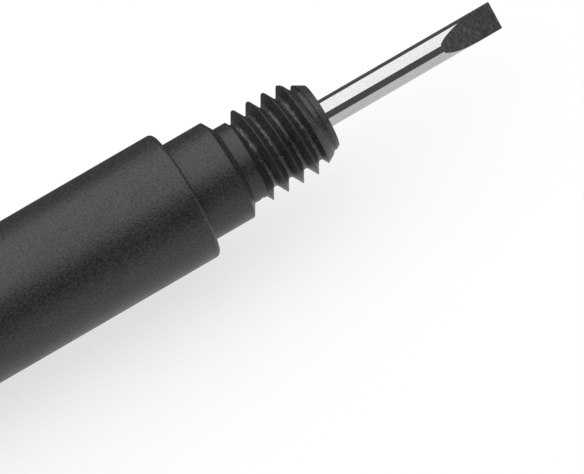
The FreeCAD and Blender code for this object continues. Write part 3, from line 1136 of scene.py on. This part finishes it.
    def collar(self) -> Piece:
        """Makes the hexagonal collar, its corners turned off and its bore eased.

        Returns:
            The collar.
        """
        flat = COLLAR.radius
        bore = BARREL.radius + 0.02
        mouth = 0.08
        middle = (COLLAR.rear + COLLAR.front) / 2
        length = COLLAR.front - COLLAR.rear
        bpy.ops.object.select_all(action="DESELECT")
        bpy.ops.mesh.primitive_cylinder_add(
            vertices=6, radius=flat / math.cos(math.pi / 6), depth=length + 1,
            location=(middle, 0, 0), rotation=(0, QUARTER_TURN, 0),
        )
        piece = bpy.context.object
        piece.name = "hexagon_collar"
        bpy.ops.object.transform_apply(location=True, rotation=True, scale=True)
        blank = turned("blank", eased(
            (COLLAR.rear, bore + mouth), (COLLAR.rear + mouth, bore), (COLLAR.front - mouth, bore),
            (COLLAR.front, bore + mouth), (COLLAR.front, flat, HAIR_EASE),
            (COLLAR.front - self.hex_slant, self.hex_corner, SMALL_EASE),
            (COLLAR.rear + self.hex_slant, self.hex_corner, SMALL_EASE), (COLLAR.rear, flat, HAIR_EASE),
        ), steps=2 * STEPS)
        cut(piece, blank, Cut.KEEP)
        break_edges(piece, width=0.03, sharper=25)
        return piece

    def build(self) -> None:
        """Models the pieces."""
        self.parts = {"barrel": self.barrel(), "nose": self.nose(), "collar": self.collar()}

    def dress(self) -> None:
        """Puts the pieces in place with their finishes."""
        settle(self.parts["barrel"], Body.HANDLE, "barrel", BLACK_BARREL_FINISH)
        settle(self.parts["nose"], Body.HANDLE, "nose", BLACK_NOSE_FINISH)
        collar = self.parts["collar"]
        settle(collar, Body.HANDLE, "anti_roll_collar", BLACK_PARTS_FINISH)
        coat(PLAIN_STEEL_FINISH, "blade_stop")


# ---- the blade and its screw ----------------------------------------------------------------
@dataclass
class WorkingBlade:
    """The ground blade and the grub screw that grips it."""

    flat_end: float = 13.37       # where the flats become parallel
    blunt: float = 0.030          # depth of the small step that starts a flat
    tip_thickness: float = 0.22
    turn: float = math.radians(53)
    rear_chamfer: float = 0.10
    screw_back: float = 0.05      # gap between the rod and the screw's point
    screw_point: float = 0.30
    screw_radius: float = 0.78
    screw_slot: float = 0.25
    screw_ease: float = 0.08
    slot_depth: float = 0.55
    parts: dict[str, Piece] = field(default_factory=dict)

    def blade(self) -> Piece:
        """Turns the round rod and grinds its two flats.

        Returns:
            The blade.
        """
        radius = BLADE.radius
        piece = turned("ground_blade", eased(
            (BLADE.rear, 0), (BLADE.rear, radius - self.rear_chamfer),
            (BLADE.rear + self.rear_chamfer, radius), (0, radius),
            (FLAT_START - FLAT_LEAD, radius), (BLADE.front, radius), (BLADE.front, 0),
        ))
        half = self.tip_thickness / 2
        beyond = BLADE.front + 1
        side = 2 * radius
        step = self.blunt / 2
        wheel = prism("wheel", [
            (FLAT_START - step, radius + self.blunt), (FLAT_START + step, radius - self.blunt),
            (self.flat_end, half), (beyond, half), (beyond, side), (FLAT_START - step, side),
        ], width=4 * radius)
        repeat(wheel, 2)
        cut(piece, wheel)
        put(piece, (0, 0, 0), (self.turn, 0, 0))
        return piece

    def grub_screw(self) -> Piece:
        """Makes the slotted grub screw, with a fine thread and a short point.

        Returns:
            The screw.
        """
        inner = BLADE.radius + self.screw_back
        low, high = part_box("blade_screw")
        outer = high.y / MM
        base = inner + self.screw_point
        piece = turned("slotted_grub_screw", eased(
            (inner, 0), (inner, self.screw_radius / 2), (base, self.screw_radius),
            (outer, self.screw_radius, self.screw_ease), (outer, 0),
        ), steps=STEPS // 2)
        past = 0.2
        fine = Thread(
            start=base - past, end=outer + past, radius=self.screw_radius, pitch=0.35, crest=0.04,
            root=0.04,
        )
        cut(piece, fine.groove())
        deep = outer - self.slot_depth
        saw = prism(
            "saw", [(deep, -2), (deep, 2), (outer + 1, 2), (outer + 1, -2)], width=self.screw_slot,
        )
        cut(piece, saw)
        put(piece, ((low.x + high.x) / 2 / MM - FACE.x / MM, 0, 0), (0, 0, QUARTER_TURN))
        return piece

    def build(self) -> None:
        """Models the pieces."""
        self.parts = {"blade": self.blade(), "screw": self.grub_screw()}

    def dress(self) -> None:
        """Puts the pieces in place with their finishes."""
        crisp = math.radians(8)
        settle(self.parts["blade"], Body.BLADE, "blade", BLADE_FINISH, crisp)
        screw = self.parts["screw"]
        settle(screw, Body.GRUB_SCREW, "blade_screw", PLAIN_STEEL_FINISH)


# ---- the tail ----------------------------------------------------------------------------------
@dataclass
class Tail:
    """The plug that closes the barrel, with its seal, its coloured ring and the spare blades."""

    flange_front: float = -62.50
    flange_rear: float = -65.50
    thread_rear: float = -59.05
    thread_radius: float = 1.97
    seal_land: float = 2.05
    seal_section: float = 0.235
    seal_groove: float = 1.58
    seal_groove_width: float = 0.60
    thread_lead: float = 0.25
    boss: float = 1.50
    peg_hole: float = 0.80
    peg_hole_end: float = -56.90
    spindle_hole: float = 1.00
    spindle_hole_end: float = -58.05
    ring_bore: float = 2.08       # a press fit on the plug's land
    flutes: int = 18
    flute_radius: float = 0.16
    flute_inset: float = 0.3
    parts: dict[str, Piece] = field(default_factory=dict)

    def plug(self) -> Piece:
        """Turns the threaded plug, with a seal groove, a fluted flange and a rear boss.

        Returns:
            The plug.
        """
        seal = (SEAL.rear + SEAL.front) / 2
        half = self.seal_groove_width / 2
        piece = turned("fluted_tail_plug", eased(
            (self.peg_hole_end, 0), (self.peg_hole_end, self.peg_hole), (PLUG.front, self.peg_hole),
            (PLUG.front, self.thread_radius - self.thread_lead),
            (PLUG.front - self.thread_lead, self.thread_radius),
            (self.thread_rear, self.thread_radius), (self.thread_rear, self.seal_land, HAIR_EASE),
            (seal + half, self.seal_land, HAIR_EASE), (seal + half, self.seal_groove),
            (seal - half, self.seal_groove), (seal - half, self.seal_land, HAIR_EASE),
            (self.flange_front, self.seal_land), (self.flange_front, BARREL.radius, EDGE_EASE),
            (self.flange_rear, BARREL.radius, BROAD_EASE), (self.flange_rear, self.boss, SMALL_EASE),
            (PLUG.rear, self.boss, FINE_EASE), (PLUG.rear, self.spindle_hole),
            (self.spindle_hole_end, self.spindle_hole), (self.spindle_hole_end, 0),
        ))
        thread = Thread(
            start=self.thread_rear + 0.35, end=PLUG.front + 0.6, radius=self.thread_radius,
            pitch=0.50, crest=0.06, root=0.06,
        )
        cut(piece, thread.groove())
        cut(piece, self.flute_mill())
        return piece

    def flute_mill(self) -> Piece:
        """Makes the round-ended tools that cut the flange's flutes.

        Returns:
            The tools, as one piece.
        """
        front = self.flange_front - self.flute_inset
        rear = self.flange_rear + self.flute_inset
        ball = self.flute_radius
        tool = turned("mill", eased(
            (rear, 0), (rear, ball, ball * BALL_END), (front, ball, ball * BALL_END), (front, 0),
        ), steps=24)
        put(tool, (0, 0, BARREL.radius + 0.04), (0, 0, 0))
        repeat(tool, self.flutes)
        return tool

    def ring(self) -> Piece:
        """Turns the coloured ring that tells the blade's width.

        Returns:
            The ring.
        """
        return turned("anodised_size_ring", eased(
            (RING.rear, self.ring_bore, FINE_EASE), (RING.front, self.ring_bore, FINE_EASE),
            (RING.front, RING.radius, SIDE_EASE), (RING.rear, RING.radius, SIDE_EASE),
        ))

    def seal(self) -> Piece:
        """Makes the rubber seal in the plug's groove.

        Returns:
            The seal.
        """
        thick = self.seal_section
        middle = SEAL.radius - thick
        station = (SEAL.rear + SEAL.front) / 2
        facets = STEPS // 4
        around = [FULL_TURN * step / facets for step in range(facets)]
        return turned("rubber_seal", [
            (station + thick * math.cos(angle), middle + thick * math.sin(angle)) for angle in around
        ])

    def build(self) -> None:
        """Models the pieces."""
        self.parts = {"plug": self.plug(), "ring": self.ring(), "seal": self.seal()}

    def dress(self) -> None:
        """Puts the pieces in place with their finishes."""
        settle(self.parts["plug"], Body.TAIL, "tail_plug", BLACK_PARTS_FINISH)
        settle(self.parts["ring"], Body.TAIL, "size_ring", RED_RING_FINISH)
        settle(self.parts["seal"], Body.SEAL, "tail_o_ring", RUBBER_FINISH)
        coat(ACETAL_FINISH, "blade_holder")
        coat(BLADE_FINISH, "spare_blades")
        coat(PLAIN_STEEL_FINISH, "spindle", "retaining_washer", "retaining_screw")


# ---- the swivel head -----------------------------------------------------------------------------
@dataclass
class SwivelHead:
    """The fluted head that turns on its ball bearing, and its dished cap."""

    front_radius: float = 2.60
    flare_end: float = -69.50
    lip: float = 0.95
    lip_bore: float = 1.62
    bearing_bore: float = 2.52
    cap_seat: float = -71.50
    cap_bore: float = 3.30
    rim_round: float = 0.35
    skirt_end: float = -69.32
    skirt: float = 2.50
    skirt_bore: float = 2.20
    cavity: float = -72.30
    dish: float = 7.0             # radius of the dish for the fingertip
    dish_depth: float = 0.70
    flutes: int = 18
    flute_radius: float = 0.34
    flute_depth: float = 0.20
    parts: dict[str, Piece] = field(default_factory=dict)

    def shell(self) -> Piece:
        """Turns the head's shell: a flared front, a fluted rim and its two bores.

        Returns:
            The shell.
        """
        lip = SHELL.front - self.lip
        piece = turned("fluted_head_shell", eased(
            (SHELL.rear, self.cap_bore, FINE_EASE), (self.cap_seat, self.cap_bore),
            (self.cap_seat, self.bearing_bore), (lip, self.bearing_bore), (lip, self.lip_bore),
            (SHELL.front, self.lip_bore, SMALL_EASE), (SHELL.front, self.front_radius, BROAD_EASE),
            (self.flare_end, SHELL.radius, self.rim_round), (SHELL.rear, SHELL.radius, self.rim_round),
        ), steps=2 * STEPS)
        cut(piece, self.flute_mill())
        return piece

    def flute_mill(self) -> Piece:
        """Makes the round-ended tools that cut the rim's flutes.

        Returns:
            The tools, as one piece.
        """
        rear = SHELL.rear + 2 * self.rim_round - self.flute_radius / 2
        front = self.flare_end - 2 * self.rim_round + self.flute_radius / 2
        ball = self.flute_radius
        tool = turned("mill", eased(
            (rear, 0), (rear, ball, ball * BALL_END), (front, ball, ball * BALL_END), (front, 0),
        ), steps=32)
        put(tool, (0, 0, SHELL.radius - self.flute_depth + self.flute_radius), (0, 0, 0))
        repeat(tool, self.flutes)
        put(tool, (0, 0, 0), (math.pi / self.flutes, 0, 0))
        return tool

    def cap(self) -> Piece:
        """Turns the finger rest, dished behind, with a skirt that holds the bearing.

        Returns:
            The cap.
        """
        outer = CAP.radius
        centre = CAP.rear + self.dish_depth - self.dish
        rim = math.acos((CAP.rear - centre) / self.dish)
        rows = 16
        dished = [
            (centre + self.dish * math.cos(rim * row / rows), self.dish * math.sin(rim * row / rows))
            for row in range(rows)
        ]
        front = self.cap_seat - 0.02
        outline = dished + eased(
            (CAP.rear, self.dish * math.sin(rim)), (CAP.rear, outer, EDGE_EASE), (front, outer),
            (front, self.skirt), (self.skirt_end, self.skirt), (self.skirt_end, self.skirt_bore),
            (self.cavity, self.skirt_bore), (self.cavity, 0),
        )
        return turned("dished_head_cap", outline)

    def build(self) -> None:
        """Models the pieces."""
        self.parts = {"shell": self.shell(), "cap": self.cap()}

    def dress(self) -> None:
        """Puts the pieces in place with their finishes."""
        settle(self.parts["shell"], Body.HEAD, "head_shell", BLACK_PARTS_FINISH)
        settle(self.parts["cap"], Body.HEAD, "head_cap", RED_RING_FINISH)
        coat(
            BEARING_STEEL_FINISH, "bearing_inner_race", "bearing_outer_race", "bearing_balls",
            "bearing_shields",
        )
        coat(CAGE_BRASS_FINISH, "ball_cage")


# ---- the studio ------------------------------------------------------------------------------------
@dataclass
class Studio:
    """A pale floor, one large soft light above, and the camera."""

    floor_size: float = 4.0
    floor_glow: float = 0.70      # light that the floor gives out by itself
    floor_white: float = 0.235    # share of the light on it that the floor gives back
    room: float = 0.13            # what the tool sees beyond the light and the floor
    backdrop: float = 0.93        # what the camera sees there
    card_size: float = 1.5
    card_near: float = 0.004      # the black card's edge, behind the axis
    light_height: float = 0.25
    light_left: float = -0.45     # its ends, beside the handle and beyond the tip
    light_right: float = 0.85
    light_near: float = -0.19     # the light's edges, towards the camera and away from it
    light_far: float = 0.405
    light_level: float = 1.67
    elevation: float = math.radians(50)
    swing: float = math.radians(7)        # the camera stands this much towards the handle
    rise: float = math.radians(30.17)     # the axis climbs this much across the picture
    picture: float = 0.02337      # width of the picture at the tool
    lens: float = 800.0
    sensor: float = 36.0
    aim_along: float = 2.70       # the picture's middle, from the barrel's face
    aim_below: float = 3.61

    def floor(self) -> None:
        """The floor, which also glows a little, so that shadows on it stay pale."""
        floor = plane("floor", self.floor_size)
        material = bpy.data.materials.new("studio_floor")
        material.use_nodes = True
        graph = Graph(material.node_tree)
        white = graph.node("BsdfDiffuse", Color=grey(self.floor_white))
        glow = graph.node("Emission", Color=grey(1.0), Strength=self.floor_glow)
        lit = graph.node("AddShader")
        graph.feed(lit.inputs[0], white.outputs[0])
        graph.feed(lit.inputs[1], glow.outputs[0])
        clear = graph.node("BsdfTransparent")
        sides = graph.node("MixShader")
        graph.feed(sides.inputs[0], graph.node("NewGeometry").outputs["Backfacing"])
        graph.feed(sides.inputs[1], lit.outputs[0])
        graph.feed(sides.inputs[2], clear.outputs[0])
        graph.feed(graph.node("OutputMaterial").inputs["Surface"], sides.outputs[0])
        floor.data.materials.append(material)

    def card(self) -> None:
        """A black card lying behind the tool, which only shows in its polish."""
        middle = self.card_near + self.card_size / 2
        card = plane("black_card", self.card_size, (0, middle, MM / 10))
        material = bpy.data.materials.new("studio_card")
        material.use_nodes = True
        graph = Graph(material.node_tree)
        glow = graph.node("Emission", Color=grey(1.0), Strength=self.room)
        graph.feed(graph.node("OutputMaterial").inputs["Surface"], glow.outputs[0])
        card.data.materials.append(material)
        card.visible_camera = False
        card.visible_diffuse = False
        card.visible_shadow = False

    def world(self) -> None:
        """A pale backdrop for the camera and a dim room for everything else."""
        world = bpy.data.worlds.new("studio")
        bpy.context.scene.world = world
        world.use_nodes = True
        graph = Graph(world.node_tree)
        seen = graph.node("LightPath").outputs["Is Camera Ray"]
        level = graph.mix(seen, self.room, self.backdrop, "FLOAT")
        air = graph.node("Background", Color=grey(1.0), Strength=level)
        graph.feed(graph.node("OutputWorld").inputs["Surface"], air.outputs[0])

    def light(self) -> None:
        """The softbox above the tool, which no camera sees."""
        length = self.light_right - self.light_left
        depth = self.light_far - self.light_near
        data = bpy.data.lights.new("softbox", "AREA")
        data.shape = "RECTANGLE"
        data.size = length
        data.size_y = depth
        data.energy = math.pi * length * depth * self.light_level
        lamp = bpy.data.objects.new("softbox", data)
        middle = ((self.light_left + self.light_right) / 2, (self.light_near + self.light_far) / 2)
        lamp.location = (*middle, self.light_height)
        lamp.visible_camera = False
        bpy.context.scene.collection.objects.link(lamp)

    def camera(self) -> None:
        """The camera, above the blade and far away, rolled so that the tool climbs to the right."""
        level = Vector((0, -math.cos(self.elevation), math.sin(self.elevation)))
        back = level * math.cos(self.swing) + Vector((-1, 0, 0)) * math.sin(self.swing)
        along = Vector((1, 0, 0)) - back * back.x
        along.normalize()
        across = back.cross(along)
        right = along * math.cos(self.rise) - across * math.sin(self.rise)
        up = along * math.sin(self.rise) + across * math.cos(self.rise)
        aim = FACE + (Vector((self.aim_along, 0, 0)) - across * self.aim_below) * MM
        distance = self.picture * self.lens / self.sensor
        data = bpy.data.cameras.new("camera")
        data.lens = self.lens
        data.sensor_width = self.sensor
        data.clip_start = distance / 50
        camera = bpy.data.objects.new("camera", data)
        turn = Matrix((right, up, back)).transposed().to_4x4()
        camera.matrix_world = Matrix.Translation(aim + back * distance) @ turn
        bpy.context.scene.collection.objects.link(camera)
        bpy.context.scene.camera = camera

    def build(self) -> None:
        """Sets up the floor, the card, the world, the light and the camera."""
        self.floor()
        self.card()
        self.world()
        self.light()
        self.camera()
        bpy.context.scene.view_settings.view_transform = "Standard"


def main() -> None:
    """Builds and dresses each sub-assembly, then sets up the studio."""
    logging.basicConfig(level=logging.INFO, format="%(name)s: %(message)s")
    for assembly in (Handle(), WorkingBlade(), Tail(), SwivelHead()):
        log.info("building the %s", type(assembly).__name__)
        assembly.build()
        assembly.dress()
    Studio().build()


if __name__ == "__main__":
    main()
